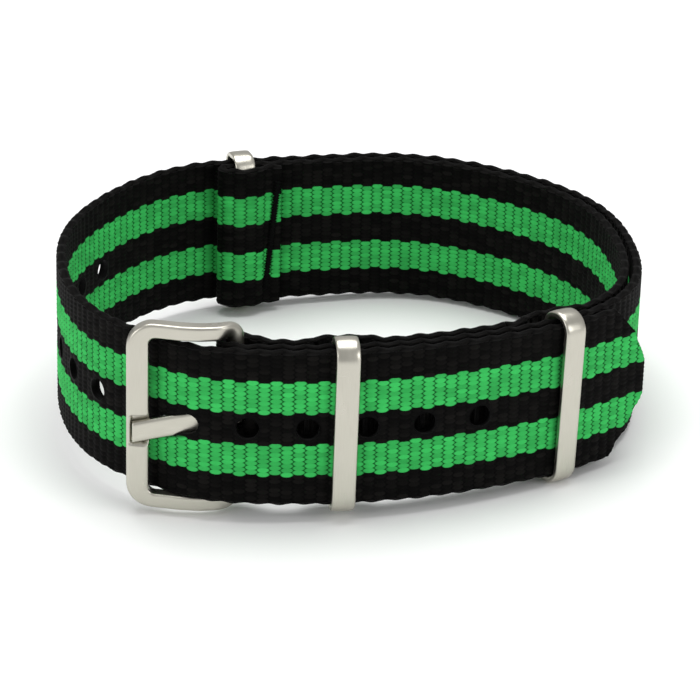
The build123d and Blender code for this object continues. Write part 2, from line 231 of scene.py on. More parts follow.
def main_run_offset(direction):
    """The main strap's outer run, which climbs on to its own buckle end."""
    climb = eased(1 - distance_between(direction, tail_climb_end) / tail_climb_length)
    climb = np.where(direction < tail_climb_end, climb, 1.0)
    climb = np.where(direction < bar_direction + full_turn / 2, 0.0, climb)
    return main_offset + (tail_offset - main_offset) * climb


print("layers of the main strap:", [round(v, 2) for v in (inner_offset, main_offset, tail_offset)])

# %% The main strap's middle line
fold_back_length = 33.1
tail_length = 52.5
fine = 0.15
half_turn_pieces = 39
tail_points = 60


def half_turn(centre, radius, first_angle):
    """Points of a half circle, anticlockwise, its two ends left out."""
    angles = first_angle + np.linspace(0, pi, half_turn_pieces + 1)[1:-1]
    return centre + radius * np.stack([np.cos(angles), np.sin(angles)], 1)


def across_angle(direction):
    """The angle, in plan, of the outward direction."""
    along = along_loop(direction)[0]
    return atan2(-along[0], along[1])


bar_centre = loop_point(bar_direction, bar_offset)[0]
fold_back = np.arange(direction_after(fold_back_length), bar_direction, -fine)
main_run = np.arange(bar_direction, tail_straight_direction, fine)
tail_start = loop_point(tail_straight_direction, tail_offset)[0]
tail_along = along_loop(tail_straight_direction)[0]
tail_run = tail_length - tail_straight_distance
main_line = np.concatenate([
    loop_point(fold_back, fold_back_offset(fold_back)),
    half_turn(bar_centre, fold_radius, across_angle(bar_direction) + pi),
    loop_point(main_run, main_run_offset(main_run)),
    tail_start + tail_along * np.linspace(0, tail_run, tail_points)[:, None],
])

# %% The short strap's middle line
rear_ring_direction = 115.94
ring_wire_width = 2.7
short_strap_start = 33.3
ring_fold_length = 2.0
ring_fold_back_length = 5.3
ring_fold_pinch_share = 0.8
ring_flat_length = 0.7
ring_step_length = 2.7
ring_fold_direction = direction_after(ring_fold_length, rear_ring_direction)
ring_leg_offset = inner_offset - webbing_thickness / 2 - leg_clearance - wire_thickness / 2
fold_back_at_ring = ring_leg_offset - wire_thickness / 2 - leg_clearance - webbing_thickness / 2
fold_back_at_seam = inner_offset - layer_pitch
ring_fold_radius = (inner_offset - fold_back_at_ring) / 2 * ring_fold_pinch_share


def ring_fold_offset(direction):
    """The layer folded back over the rear ring's leg, down to where it is sewn."""
    away = distance_between(direction, rear_ring_direction)
    share = 1 - eased((away - ring_flat_length) / ring_step_length)
    return fold_back_at_seam + (fold_back_at_ring - fold_back_at_seam) * share


short_run = np.arange(direction_after(short_strap_start), ring_fold_direction, fine)
fold_centre = loop_point(ring_fold_direction, inner_offset - ring_fold_radius)[0]
fold_return = np.arange(
    direction_after(ring_wire_width / 2, rear_ring_direction),
    direction_after(-ring_fold_back_length, rear_ring_direction),
    -fine,
)
short_line = np.concatenate([
    loop_point(short_run, inner_offset - pocket_depth * pocket(short_run, far_keeper_direction)),
    half_turn(fold_centre, ring_fold_radius, across_angle(ring_fold_direction)),
    loop_point(fold_return, ring_fold_offset(fold_return)),
])


# %% Both lines with their kinks eased


def smoothed(line, spacing=0.1, passes=12):
    """The line again at even spacing, with its small kinks eased out."""
    length = lengths_along(line)
    even = np.arange(0, length[-1], spacing)
    out = np.stack([np.interp(even, length, line[:, i]) for i in (0, 1)], 1)
    for _ in range(passes):
        out[1:-1] = (out[:-2] + 2 * out[1:-1] + out[2:]) / 4
    return out


main_line = smoothed(main_line)
short_line = smoothed(short_line)
print("points in the two lines:", len(main_line), len(short_line))

# %% [markdown]
# ## Standing on the ground
# The buckle and the rings are wider than the webbing, so the closed strap leans a little. One
# rotation and one lift carry every point from the strap's own level frame to the row's frame. The
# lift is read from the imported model, so both stand at the same height.

# %% The stand
turn = Matrix.Rotation(radians(-tip_angle), 3, "X") @ Matrix.Rotation(radians(lean_angle), 3, "Y")
turn = np.array(turn)
around = np.arange(0, full_turn, 0.5)
outer_edge = loop_point(around, np.full(len(around), main_offset + webbing_thickness / 2))
lowest_edge = (np.column_stack([outer_edge, np.zeros(len(around))]) @ turn.T)[:, 2].min()
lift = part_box("main_strap")[0].z / mm - lowest_edge
stand = np.array([loop_centre_x, loop_centre_y, lift])


def stood(points):
    """Points of the level frame, in mm, as points of the row frame, in metres."""
    return (np.asarray(points, float) @ turn.T + stand) * mm


print("lift:", round(lift, 2), "mm")

# %% [markdown]
# ## How the webbing is woven
# This webbing is a warp-faced plain weave. Seventy warp threads run along it, and a thin weft
# crosses them at every pick, hidden inside. Each warp thread goes over one pick and under the next,
# and its neighbours do the opposite, so the face shows short floats laid like bricks. The surface is
# the higher of two families of threads, and both the mesh and the colours below come from that one
# rule. A displacement map could fake it, but then the scalloped edges wouldn't be there.

# %% The weave's formula
pick = 1.38
thread_count = 70
thread_pitch = strap_width / thread_count
wave_height = 0.17
thread_crown = 0.13
surface_base = webbing_thickness / 2 - wave_height - thread_crown


def weave_height(u, v, side):
    """The height of the webbing's face at u picks along and v threads across."""
    to_even = np.abs((v + 0.5) % 2 - 1)
    to_odd = 1 - to_even
    path = wave_height * np.sin(pi * u) * side
    even = path + thread_crown * (1 - to_even ** 2)
    odd = -path + thread_crown * (1 - to_odd ** 2)
    return np.maximum(even, odd)


print(f"{thread_count} threads, {thread_pitch:.2f} mm apart, and a pick every {pick} mm")

# %% [markdown]
# ## Holes
# A hole is a slot with round ends: its place along the webbing, its height, half its length, its
# radius and its slant. A round hole is a slot whose half length is its radius. The real ones are
# punched with a hot iron, which melts the cut threads into a smooth rim.

# %% How points lie to a hole


def from_core(s, z, hole):
    """Points as a hole sees them: their place on its core line, and how far off it they lie."""
    place, height, half_length, radius, slant = hole
    along = (s - place) * cos(slant) + (z - height) * sin(slant)
    aside = (z - height) * cos(slant) - (s - place) * sin(slant)
    core = np.clip(along, radius - half_length, half_length - radius)
    return core, along - core, aside


def rim_distance(s, z, holes):
    """How far points lie outside the nearest hole's rim."""
    away = np.full(s.shape, np.inf)
    for hole in holes:
        _, along, aside = from_core(s, z, hole)
        away = np.minimum(away, np.hypot(along, aside) - hole[3])
    return away


# %% [markdown]
# ## Building a woven ribbon
# The mesh is a grid that goes right round the webbing: one face, one edge, the other face, the other
# edge. A hole leaves out the cells inside it and draws the points beside it on to its rim, and short
# faces join the two sides there. A boolean cut would be quicker to write, but it would leave a ragged
# rim in so fine a mesh.

# %% The grid of a face
edge_radius = 0.5
cells_per_pick = 4
cells_per_thread = 2
drawn_zone = 0.3
first_ring_gap = 0.12


def points_beside(cells):
    """The grid points with at least one of the given cells beside them."""
    rows, columns = cells.shape
    points = np.zeros((rows + 1, columns + 1), bool)
    for i, j in ((0, 0), (1, 0), (0, 1), (1, 1)):
        points[i:rows + i, j:columns + j] |= cells
    return points


def face_grid(length, holes, cut):
    """The places of a face's rings, each grid point's place and height, and the cells in holes."""
    rings = int(round(length / pick * cells_per_pick))
    face_height = strap_width - 2 * edge_radius
    columns = int(round(face_height / thread_pitch * cells_per_thread)) + 1
    ring_places = np.linspace(0, length, rings + 1)
    heights = np.linspace(edge_radius, strap_width - edge_radius, columns)
    s, z = np.meshgrid(ring_places, heights, indexing="ij")
    s = cut(s, z) if cut else s
    middle_s, middle_z = (s[:-1, :-1] + s[1:, 1:]) / 2, (z[:-1, :-1] + z[1:, 1:]) / 2
    gone = rim_distance(middle_s, middle_z, holes) < 0
    touched = points_beside(gone)
    on_rim = touched & points_beside(~gone)
    for hole in holes:
        place, height, _, radius, slant = hole
        core, along, aside = from_core(s, z, hole)
        away = np.maximum(np.hypot(along, aside), 1e-9)
        near = (away < radius + drawn_zone) & (on_rim | ~touched)
        target = np.where(on_rim, radius, np.maximum(away, radius + first_ring_gap))
        factor = np.where(near, target / away, 1.0)
        along, aside = core + along * factor, aside * factor
        s = place + along * cos(slant) - aside * sin(slant)
        z = height + along * sin(slant) + aside * cos(slant)
    return ring_places, s, z, gone


cell_size = [round(v, 3) for v in (pick / cells_per_pick, thread_pitch / cells_per_thread)]
print("cells of the mesh in mm, along and across:", cell_size)

# %% The faces between the grid's points


def side_faces(grid, plain, gone, outer):
    """Faces of one side of the webbing. Where it is plain, one face spans it from edge to edge."""
    faces = []
    last = len(plain) - 1
    for i in range(last):
        if plain[i] and plain[i + 1] and not gone[i].any():
            low = grid[i][[0, -1]] if i > 0 and plain[i - 1] else grid[i]
            top = grid[i + 1][[0, -1]] if i + 2 <= last and plain[i + 2] else grid[i + 1]
            row = [[*low, *top[::-1]]]
        else:
            row = [
                (grid[i, j], grid[i, j + 1], grid[i + 1, j + 1], grid[i + 1, j])
                for j in np.nonzero(~gone[i])[0]
            ]
        faces += [face[::-1] if outer else face for face in row]
    return faces


def edge_faces(rows, upper):
    """Faces of one edge of the webbing, between its rows of points."""
    faces = []
    for a, b in zip(rows[:-1], rows[1:]):
        strip = [(a[i], b[i], b[i + 1], a[i + 1]) for i in range(len(a) - 1)]
        faces += strip if upper else [face[::-1] for face in strip]
    return faces


def rim_faces(front, back, gone):
    """Faces inside the holes, from one side of the webbing to the other."""
    faces = []
    solid = np.pad(~gone, 1, constant_values=True)
    cell_sides = (
        ((-1, 0), (0, 0), (0, 1)), ((1, 0), (1, 1), (1, 0)),
        ((0, -1), (1, 0), (0, 0)), ((0, 1), (0, 1), (1, 1)),
    )
    for i, j in zip(*np.nonzero(gone)):
        for (di, dj), a, b in cell_sides:
            if solid[i + 1 + di, j + 1 + dj]:
                p, q = (i + a[0], j + a[1]), (i + b[0], j + b[1])
                faces.append((front[p], front[q], back[q], back[p]))
    return faces


def end_faces(index, edges):
    """The two cut ends of the webbing, each as one face."""
    faces = []
    for i in (0, -1):
        ring = [*index[1][i], *(row[i] for row in edges[1][1:-1])]
        ring += [*index[-1][i][::-1], *(row[i] for row in edges[-1][-2:0:-1])]
        faces.append(ring if i else ring[::-1])
    return faces


# %% [markdown]
# ## Laying the points
# Each point keeps two attributes for the material: where it lies in the weave (picks along, threads
# across and which side), and how much it is sealed by the heat of a hole's punch. The edges are round,
# and lumpy where the weft turns back at every other pick. Faces that lie against another layer are
# left plain, because nobody sees them.

# %% A smooth mesh in the scene


def new_piece(name, points, faces, **attributes):
    """A smooth mesh from points in metres. Attributes give each point a number or three."""
    mesh = bpy.data.meshes.new(name)
    mesh.from_pydata(points.tolist(), [], faces)
    mesh.update()
    mesh.shade_smooth()
    for key, values in attributes.items():
        kind, field = ("FLOAT", "value") if values.ndim == 1 else ("FLOAT_VECTOR", "vector")
        layer = mesh.attributes.new(key, kind, "POINT")
        layer.data.foreach_set(field, values.astype(np.float32).ravel())
    piece = bpy.data.objects.new(name, mesh)
    bpy.context.scene.collection.objects.link(piece)
    print(f"{name}: {len(points)} points, {len(faces)} faces")
    return piece


# %% The ribbon builder
edge_cells = 6
scallop = 0.16
slow_scallop_share = 0.4
sealed_from, sealed_over = 0.05, 0.55
sealed_height = 0.24
plain_height = 0.1


def ribbon(name, line, hidden, holes=(), cut=None):
    """Weaves a piece of webbing along a line. hidden(s, side) says where a side is left plain."""
    length, tangent = lengths_along(line), unit_tangents(line)
    ring_places, s, z, gone = face_grid(length[-1], holes, cut)
    sealed = 1 - eased((rim_distance(s, z, holes) - sealed_from) / sealed_over)
    verts, weave, index, edges = [], [], {}, {}

    def lay(s, z, out, v, side, sealed):
        """Adds points at places, heights and offsets from the line, and gives their numbers."""
        first = sum(map(len, verts))
        x, y, along_x, along_y = (np.interp(s, length, values) for values in (*line.T, *tangent.T))
        verts.append(stood(np.stack([x + along_y * out, y - along_x * out, z], -1).reshape(-1, 3)))
        weave.append(np.stack(np.broadcast_arrays(s / pick, v, side, sealed), -1).reshape(-1, 4))
        return first + np.arange(s.size).reshape(s.shape)

    for side in (1, -1):
        high = weave_height(s / pick, z / thread_pitch, side)
        high = high + (sealed_height - high) * sealed
        high = np.where(hidden(s[:, 0], side)[:, None], plain_height, high)
        index[side] = lay(s, z, side * (surface_base + high), z / thread_pitch, side, sealed)
    for end, column in ((-1, 0), (1, -1)):
        places = s[:, column]
        turns = pi * places / pick
        lumps = scallop * (np.cos(turns) + slow_scallop_share * np.cos(turns / 2 + 1))
        straight_z = strap_width / 2 + end * (strap_width / 2 - edge_radius)
        edges[end] = [index[1][:, column]]
        for k in range(1, edge_cells):
            phi = pi * k / edge_cells
            v = (straight_z + end * edge_radius * min(phi, pi - phi)) / thread_pitch
            high = surface_base + weave_height(places / pick, v, cos(phi))
            heights = straight_z + end * sin(phi) * (edge_radius - scallop + lumps * sin(phi))
            edges[end].append(lay(places, heights, cos(phi) * high, v, cos(phi), 0.0))
        edges[end].append(index[-1][:, column])

    faces = rim_faces(index[1], index[-1], gone) + end_faces(index, edges)
    for side in (1, -1):
        faces += side_faces(index[side], hidden(ring_places, side), gone, side > 0)
        faces += edge_faces(edges[side], side > 0)
    verts, weave = np.concatenate(verts), np.concatenate(weave)
    used = np.zeros(len(verts), bool)
    used[[k for face in faces for k in face]] = True
    renumber = np.cumsum(used) - 1
    faces = [renumber[list(face)].tolist() for face in faces]
    return new_piece(name, verts[used], faces, weave=weave[used, :3], sealed=weave[used, 3])


# %% [markdown]
# ## Nylon webbing
# The real one is dyed nylon multifilament, woven on a needle loom: deep black and a strong green.
# Nylon yarn has a soft sheen along its filaments and no clear gloss. The colour changes thread by
# thread, so the shader works out, at each point, which thread lies on top, with the same rule as the
# mesh. A painted texture would need one pixel for every filament along 300 mm.

# %% Which thread lies on top
green_from, green_to = 7.0, 21.0
middle_thread = (thread_count - 1) / 2
# In the black a wide spread of brightness paints highlights on a few floats; in the green it is only a
# random difference of tone
black_painted_glint_spread, green_contrast = 5.0, 1.0
# Each row is one Math node: the name of its result, its operation and its inputs
weave_steps = (
    ("off_half", "SUBTRACT", "v", 0.5),
    ("to_even", "PINGPONG", "off_half", 1.0),
    ("to_odd", "SUBTRACT", 1.0, "to_even"),
    ("turns", "MULTIPLY", "u", pi),
    ("wave", "SINE", "turns"),
    ("sided_wave", "MULTIPLY", "wave", "side"),
    ("path", "MULTIPLY", "sided_wave", wave_height),
    ("even_fall", "MULTIPLY", "to_even", "to_even"),
    ("odd_fall", "MULTIPLY", "to_odd", "to_odd"),
    ("even_crown", "MULTIPLY_ADD", "even_fall", -thread_crown, thread_crown),
    ("odd_crown", "MULTIPLY_ADD", "odd_fall", -thread_crown, thread_crown),
    ("even_height", "ADD", "even_crown", "path"),
    ("odd_height", "SUBTRACT", "odd_crown", "path"),
    ("height", "MAXIMUM", "even_height", "odd_height"),
    ("height_share", "DIVIDE", "height", wave_height + thread_crown),
    ("even_on_top", "GREATER_THAN", "even_height", "odd_height"),
    ("even_half", "DIVIDE", "off_half", 2.0),
    ("even_pair", "ROUND", "even_half"),
    ("even_thread", "MULTIPLY", "even_pair", 2.0),
    ("odd_half", "MULTIPLY_ADD", "v", 0.5, -0.75),
    ("odd_pair", "ROUND", "odd_half"),
    ("odd_thread", "MULTIPLY_ADD", "odd_pair", 2.0, 1.0),
    ("apart", "SUBTRACT", "even_thread", "odd_thread"),
    ("thread", "MULTIPLY_ADD", "apart", "even_on_top", "odd_thread"),
    ("off_middle", "SUBTRACT", "thread", middle_thread),
    ("from_middle", "ABSOLUTE", "off_middle"),
    ("past_inner_black", "GREATER_THAN", "from_middle", green_from),
    ("before_outer_black", "LESS_THAN", "from_middle", green_to),
    ("green", "MULTIPLY", "past_inner_black", "before_outer_black"),
    ("tone_and_painted_glint_spread", "MULTIPLY_ADD", "green", green_contrast - black_painted_glint_spread, black_painted_glint_spread),
    ("whole_pick", "FLOOR", "u"),
)


def weave_values(tree, weave):
    """The results of the weave's steps, by name, from the mesh's picks and threads."""
    split = add(tree, "SeparateXYZ", Vector=weave)
    values = dict(zip(("u", "v", "side"), split.outputs))
    for name, operation, *inputs in weave_steps:
        numbers = {i: value for i, value in enumerate(inputs) if not isinstance(value, str)}
        links = {f"_{i}": values[value] for i, value in enumerate(inputs) if isinstance(value, str)}
        node = add(tree, "Math", {"operation": operation, **numbers}, **links)
        values[name] = node.outputs[0]
    return values


# %% [markdown]
# ## Colours of the webbing
# Deep places between the floats are painted darker: this is painted shade. Each float's tone differs a
# little at random. In the black the spread is much wider, as painted highlights: a few floats are
# painted bright and most hardly any. The dye drifts slowly along the strap. A real thread has dozens of
# filaments. They are drawn coarser, six to a thread, and roughen its sheen.

# %% The webbing's material
# The second colour of each pair is painted shade, put in the deep places between the floats
green_hex, green_painted_shade_hex = "#3AB95B", "#033A10"
black_hex, black_painted_shade_hex = "#0B0A09", "#000000"
sealed_hex = "#020202"
filaments_per_thread = 6.0
filament_changes_per_pick = 1.2
dye_patch_picks = 12.5


def webbing_material():
    """Striped nylon webbing, from the mesh's own picks and threads."""
    material, tree, shader = new_material("dyed_nylon_webbing")
    weave = add(tree, "Attribute", {"attribute_name": "weave"}).outputs["Vector"]
    sealed = add(tree, "Attribute", {"attribute_name": "sealed"}).outputs["Fac"]
    values = weave_values(tree, weave)
    # Painted shade: the lower the surface lies between the floats, the more its colour goes to the
    # painted shade colours
    steep = {"From Min": 0.25, "From Max": 0.58, "interpolation_type": "SMOOTHSTEP"}
    depth = add(tree, "MapRange", steep, Value=values["height_share"])
    tint = add(tree, "Mix", {"data_type": "RGBA", "A": linear(black_hex), "B": linear(green_hex)},
               Factor=values["green"])
    painted_shade_colours = {"data_type": "RGBA", "A": linear(black_painted_shade_hex), "B": linear(green_painted_shade_hex)}
    painted_shade = add(tree, "Mix", painted_shade_colours, Factor=values["green"])
    colour = add(tree, "Mix", {"data_type": "RGBA"}, Factor=depth.outputs[0],
                 A=painted_shade.outputs["Result"], B=tint.outputs["Result"])
    float_id = add(tree, "CombineXYZ", X=values["whole_pick"], Y=values["thread"], Z=values["side"])
    random = add(tree, "TexWhiteNoise", {"noise_dimensions": "3D"}, Vector=float_id.outputs[0])
    # Painted highlights: raised to a high power in the black, this random shade makes a few floats
    # bright and most dark
    shade = add(tree, "MapRange", {"To Min": 0.80, "To Max": 1.15}, Value=random.outputs["Value"])
    varied = add(tree, "Math", {"operation": "POWER"}, _0=shade.outputs[0], _1=values["tone_and_painted_glint_spread"])
    dye = add(tree, "TexNoise", {"Scale": 1 / dye_patch_picks, "Detail": 2.0}, Vector=weave)
    drift = add(tree, "MapRange", {"From Min": 0.3, "From Max": 0.7, "To Min": 0.92, "To Max": 1.06},
                Value=dye.outputs[0])
    bright = add(tree, "Math", {"operation": "MULTIPLY"}, _0=varied.outputs[0], _1=drift.outputs[0])
    grey = add(tree, "CombineXYZ", X=bright.outputs[0], Y=bright.outputs[0], Z=bright.outputs[0])
    dye_and_painted_light = add(tree, "Mix", {"data_type": "RGBA", "blend_type": "MULTIPLY", "Factor": 1.0},
               A=colour.outputs["Result"], B=grey.outputs[0])
    rimmed = add(tree, "Mix", {"data_type": "RGBA", "B": linear(sealed_hex)}, Factor=sealed,
                 A=dye_and_painted_light.outputs["Result"])
    lines = add(tree, "VectorMath", {
        "operation": "MULTIPLY", 1: (filament_changes_per_pick, filaments_per_thread, 0.0),
    }, _0=weave)
    filaments = add(tree, "TexNoise", {"Scale": 1.0, "Detail": 3.0}, Vector=lines.outputs[0])
    bump = add(tree, "Bump", {"Strength": 0.5, "Distance": 0.05 * mm}, Height=filaments.outputs[0])
    rough = add(tree, "MapRange", {"To Min": 0.72, "To Max": 0.6}, Value=sealed)
    sheen = {"IOR": 1.53, "Specular IOR Level": 0.05, "Sheen Weight": 0.02, "Sheen Roughness": 0.4}
    fill(tree, shader, sheen, Base_Color=rimmed.outputs["Result"], Normal=bump.outputs[0],
         Roughness=rough.outputs[0])
    return material


nylon = webbing_material()
print("nodes in the nylon:", len(nylon.node_tree.nodes))

# %% [markdown]
# ## The main strap
# Its row of holes is punched along the middle. The sixth from the tip holds the tang, which runs
# aslant through it and has pulled it long. The fold round the buckle's bar has a slot for the tang's
# eye. The tip is cut to a blunt point with a hot knife.

# %% Holes in the main strap
hole_radius = 1.35
tail_hole_distance = 1.9
tail_hole_pitch = 6.7
run_hole_distance = 11.5
run_hole_pitch = 6.42
holes_to_right_of_tang = 5
holes_to_left_of_tang = 8
tang_slant = radians(12.4)
tang_root_height = 10.7
tang_hole_distance = 6.0
tang_hole_length = 5.8
tang_hole_width = 2.45
tang_hole_height = 9.35
tang_hole_slant = radians(18)
eye_slot_length = 8.6
eye_slot_width = 3.8
mid_height = strap_width / 2


def place_on(line, point):
    """How far along a line its nearest place to a point lies."""
    return lengths_along(line)[np.argmin(np.linalg.norm(line - point, axis=1))]


def place_of(distance):
    """The place on the main strap's outer run that lies a distance along the loop from the bar."""
    d = direction_after(distance, tail_start_direction)
    return place_on(main_line, loop_point(d, main_run_offset(d))[0])


bar_place = fold_back_length + pi * fold_radius / 2
tang_hole_place = place_of(-tang_hole_distance)
holes = [
    (bar_place, tang_root_height, eye_slot_length / 2, eye_slot_width / 2, 0.0),
    (tang_hole_place, tang_hole_height, tang_hole_length / 2, tang_hole_width / 2, tang_hole_slant),
]
distances = [tail_hole_distance + i * tail_hole_pitch for i in range(holes_to_right_of_tang)]
distances += [-run_hole_distance - i * run_hole_pitch for i in range(holes_to_left_of_tang)]
holes += [(place_of(distance), mid_height, hole_radius, hole_radius, 0.0) for distance in distances]
print("holes:", len(holes))

# %% Main strap
tip_outline = ((0.0, 5.5), (4.0, 2.6), (7.7, 0.0), (12.0, 0.0), (16.4, 2.1), (18.9, 4.5), (20.0, 5.6))
tip_length = 8.0
seen_at_end, seen_at_bar, seen_at_tip, woven_round_hole = 2.0, 8.0, 9.0, 1.2
main_length = lengths_along(main_line)[-1]
outer_start = place_on(main_line, loop_point(bar_direction + 1, main_offset)[0])
tail_place = place_on(main_line, loop_point(tail_start_direction, tail_offset)[0])
short_covers_to = place_on(main_line, loop_point(ring_fold_direction, main_offset)[0])


def main_plain(s, side):
    """Where a side lies against another layer, away from the holes, so that it needs no weave."""
    if side > 0:
        plain = (s > outer_start + seen_at_end) & (s < outer_start + tail_length - seen_at_tip)
    else:
        plain = s < outer_start - seen_at_bar
        plain |= (s > outer_start + seen_at_bar) & (s < short_covers_to - seen_at_end)
        plain |= (s > tail_place + seen_at_end) & (s < main_length - tip_length)
    for place, _, half_length, _, _ in holes:
        plain &= np.abs(s - place) >= half_length + woven_round_hole
    return plain


def tip_cut(s, z):
    """Draws the last rings in to the outline of the cut tip."""
    depth = np.interp(z, *np.array(tip_outline).T)
    start = main_length - tip_length
    return np.where(s > start, start + (s - start) * (tip_length - depth) / tip_length, s)


main_webbing = ribbon("main_strap_webbing", main_line, main_plain, holes, tip_cut)
main_webbing.data.materials.append(nylon)
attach(main_webbing, "webbing")
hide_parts("main_strap")

# %% [markdown]
# ## The short strap
# The same webbing, sewn inside the main strap and folded round the rear ring's inner leg. The same
# function weaves it along its own line.

# %% Short strap
seen_at_cut, seen_at_fold = 1.5, 3.0
short_fold_place = place_on(short_line, loop_point(ring_fold_direction, inner_offset)[0])


def short_plain(s, side):
    """The side against the main strap is plain, and so is the inside of the fold."""
    if side > 0:
        return (s > seen_at_cut) & (s < short_fold_place - seen_at_fold)
    return s > short_fold_place + seen_at_fold


short_webbing = ribbon("short_strap_webbing", short_line, short_plain)
short_webbing.data.materials.append(nylon)
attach(short_webbing, "webbing")
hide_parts("short_strap")

# %% [markdown]
# ## Satin stainless steel
# The buckle, keepers and ring are bent from flat stainless wire and fine-brushed along it, which
# leaves a pale satin surface with soft edges. It is a metal, so its colour is its reflection, and the
# fine grain spreads that reflection. A fine brush leaves lines about 0.02 mm apart. They are drawn
# coarser, about 0.06 mm apart and 2 mm long. Blotches of 4 mm, where the brush bit more or less, vary
# the roughness.

# %% The steel's material
grain_length = 2.0
grain_lines = 14.0
blotch_size = 4.0


def steel_material():
    """Satin stainless steel with grain along the wire."""
    material, tree, shader = new_material("satin_stainless_steel")
    grain = add(tree, "Attribute", {"attribute_name": "grain"}).outputs["Vector"]
    lines = add(tree, "Mapping", {"Scale": (1 / grain_length, grain_lines, 1.0)}, Vector=grain)
    fine_grain = add(tree, "TexNoise", {"Scale": 1.0, "Detail": 4.0}, Vector=lines.outputs[0])
    blotch = add(tree, "TexNoise", {"Scale": 1 / blotch_size, "Detail": 2.0}, Vector=grain)
    rough = add(tree, "MapRange", {"From Min": 0.3, "From Max": 0.7, "To Min": 0.26, "To Max": 0.38},
                Value=blotch.outputs[0])
    bump = add(tree, "Bump", {"Strength": 0.12, "Distance": 0.02 * mm}, Height=fine_grain.outputs[0])
    tone = add(tree, "Mix", {"data_type": "RGBA", "A": linear("#BAB7AB"), "B": linear("#C9C6BB")},
               Factor=fine_grain.outputs[0])
    fill(tree, shader, {"Metallic": 1.0}, Base_Color=tone.outputs["Result"], Normal=bump.outputs[0],
         Roughness=rough.outputs[0])
    return material


steel = steel_material()
print("nodes in the steel:", len(steel.node_tree.nodes))

# %% [markdown]
# ## Bent wire
# A fitting is drawn as two outlines, its inner and its outer one, and the wire's section is swept
# round between them. A bevel on the solids would soften the edges too, but the sweep also gives
# crowned faces, and it knows which way the grain runs.

# %% Put a swept piece in the frame


def mesh_piece(name, points, faces, grain, material, body, node):
    """Makes a smooth piece from points in the level frame and seats it in the frame."""
    piece = new_piece(name, stood(points), faces, grain=grain)
    piece.data.materials.append(material)
    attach(piece, body)
    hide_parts(node)


# %% Outlines and sections of bent wire


def rounded_outline(low, high, radii, side_steps, corner_steps):
    """A rectangle with four rounded corners, anticlockwise from its right side. Radii go the same way
    from the upper right corner. Each corner and side has as many points whatever its size."""
    (x0, y0), (x1, y1) = low, high
    corners = ((x1, y1, 0), (x0, y1, 90), (x0, y0, 180), (x1, y0, 270))
    arcs = []
    for (x, y, start), radius in zip(corners, radii):
        cx = x - radius if start in (0, 270) else x + radius
        cy = y - radius if start in (0, 90) else y + radius
        angles = np.radians(start + np.linspace(0, 90, corner_steps + 1))
        arcs.append(np.stack([cx + radius * np.cos(angles), cy + radius * np.sin(angles)], 1))
    points = []
    shares = np.linspace(0, 1, side_steps, endpoint=False)[:, None]
    for i, arc in enumerate(arcs):
        points += [arc[:-1], arc[-1] + (arcs[(i + 1) % 4][0] - arc[-1]) * shares]
    return np.concatenate(points)


def wire_section(round_share, crown_share=0.0, count=28):
    """A wire's section as shares of its half thickness and half width: a box with round corners."""
    angles = 2 * pi * (np.arange(count) + 0.5) / count
    power = 2 / round_share
    c, s = np.cos(angles), np.sin(angles)
    size = (np.abs(c) ** power + np.abs(s) ** power) ** (-1 / power)
    x, y = c * size, s * size
    return np.stack([x * (1 - crown_share * y ** 2), y], 1)


# %% Sweeping a section
grain_step = 0.3


def tube_faces(rows, columns, first=0, closed=False):
    """Faces of a tube whose points come in rows: closed on itself, or with a cap at each end."""
    faces = []
    for i in range(rows if closed else rows - 1):
        here, there = first + i * columns, first + (i + 1) % rows * columns
        for j in range(columns):
            k = (j + 1) % columns
            faces.append((here + j, here + k, there + k, there + j))
    if not closed:
        end = first + (rows - 1) * columns
        faces += [tuple(range(first, first + columns))[::-1], tuple(range(end, end + columns))]
    return faces


def grain_places(along, columns, step):
    """Where each point of a tube lies on its grain: along it, and round it in steps."""
    around = np.arange(columns) * step
    return np.stack(np.broadcast_arrays(along[:, None], around[None, :], 0.0), -1).reshape(-1, 3)


def swept_ring(inner, outer, section, half_width):
    """Sweeps a section round between two outlines. Gives its points in plan, how far across each one
    lies, its faces and its grain."""
    middle, reach = (inner + outer) / 2, (outer - inner) / 2
    points = middle[:, None, :] + reach[:, None, :] * section[None, :, 0:1]
    across = np.broadcast_to(half_width * section[None, :, 1], points.shape[:2])
    step = np.linalg.norm(np.roll(middle, -1, 0) - middle, axis=1)
    along = np.concatenate([[0], np.cumsum(step)[:-1]])
    grain = grain_places(along, len(section), grain_step)
    return points, across, tube_faces(*across.shape, closed=True), grain


# %% [markdown]
# ## Keepers and rear ring
# Each is a flat wire bent into a long narrow ring that the webbing passes through. The photograph
# shows the keepers' ends as one round arch each, so their outer corners almost meet.

# %% Keepers and rear ring
ring_inner_height = 20.3
ring_depth = 2 * webbing_thickness + layer_gap + 2 * leg_clearance
ring_steps = {"side_steps": 12, "corner_steps": 10}
ring_section = wire_section(0.28, 0.10)
keeper_middle = (main_offset + tail_offset) / 2
keeper_radii = (1.2, 2.5)
rear_ring_radii = (0.4, 2.3)


def wire_ring(node, direction, middle_offset, radii, wire_width, lean, swivel):
    """A ring of flat wire round the webbing, with its lean and its swivel in degrees."""
    half_in = np.array([ring_depth, ring_inner_height]) / 2
    half_out = half_in + wire_thickness
    inner = rounded_outline(-half_in, half_in, [radii[0]] * 4, **ring_steps)
    outer = rounded_outline(-half_out, half_out, [radii[1]] * 4, **ring_steps)
    points, across, faces, grain = swept_ring(inner, outer, ring_section, wire_width / 2)
    rotation = Matrix.Rotation(radians(lean), 3, "X") @ Matrix.Rotation(radians(swivel), 3, "Y")
    local = np.dstack([points, across]).reshape(-1, 3) @ np.array(rotation).T
    x, y = along_loop(direction)[0]
    outward_up_back = np.array([[y, -x, 0.0], [0.0, 0.0, 1.0], [-x, -y, 0.0]])
    at = np.append(loop_point(direction, middle_offset)[0], mid_height)
    world = at + local @ outward_up_back
    mesh_piece(node + "_wire", world, faces, grain, steel, node, node)


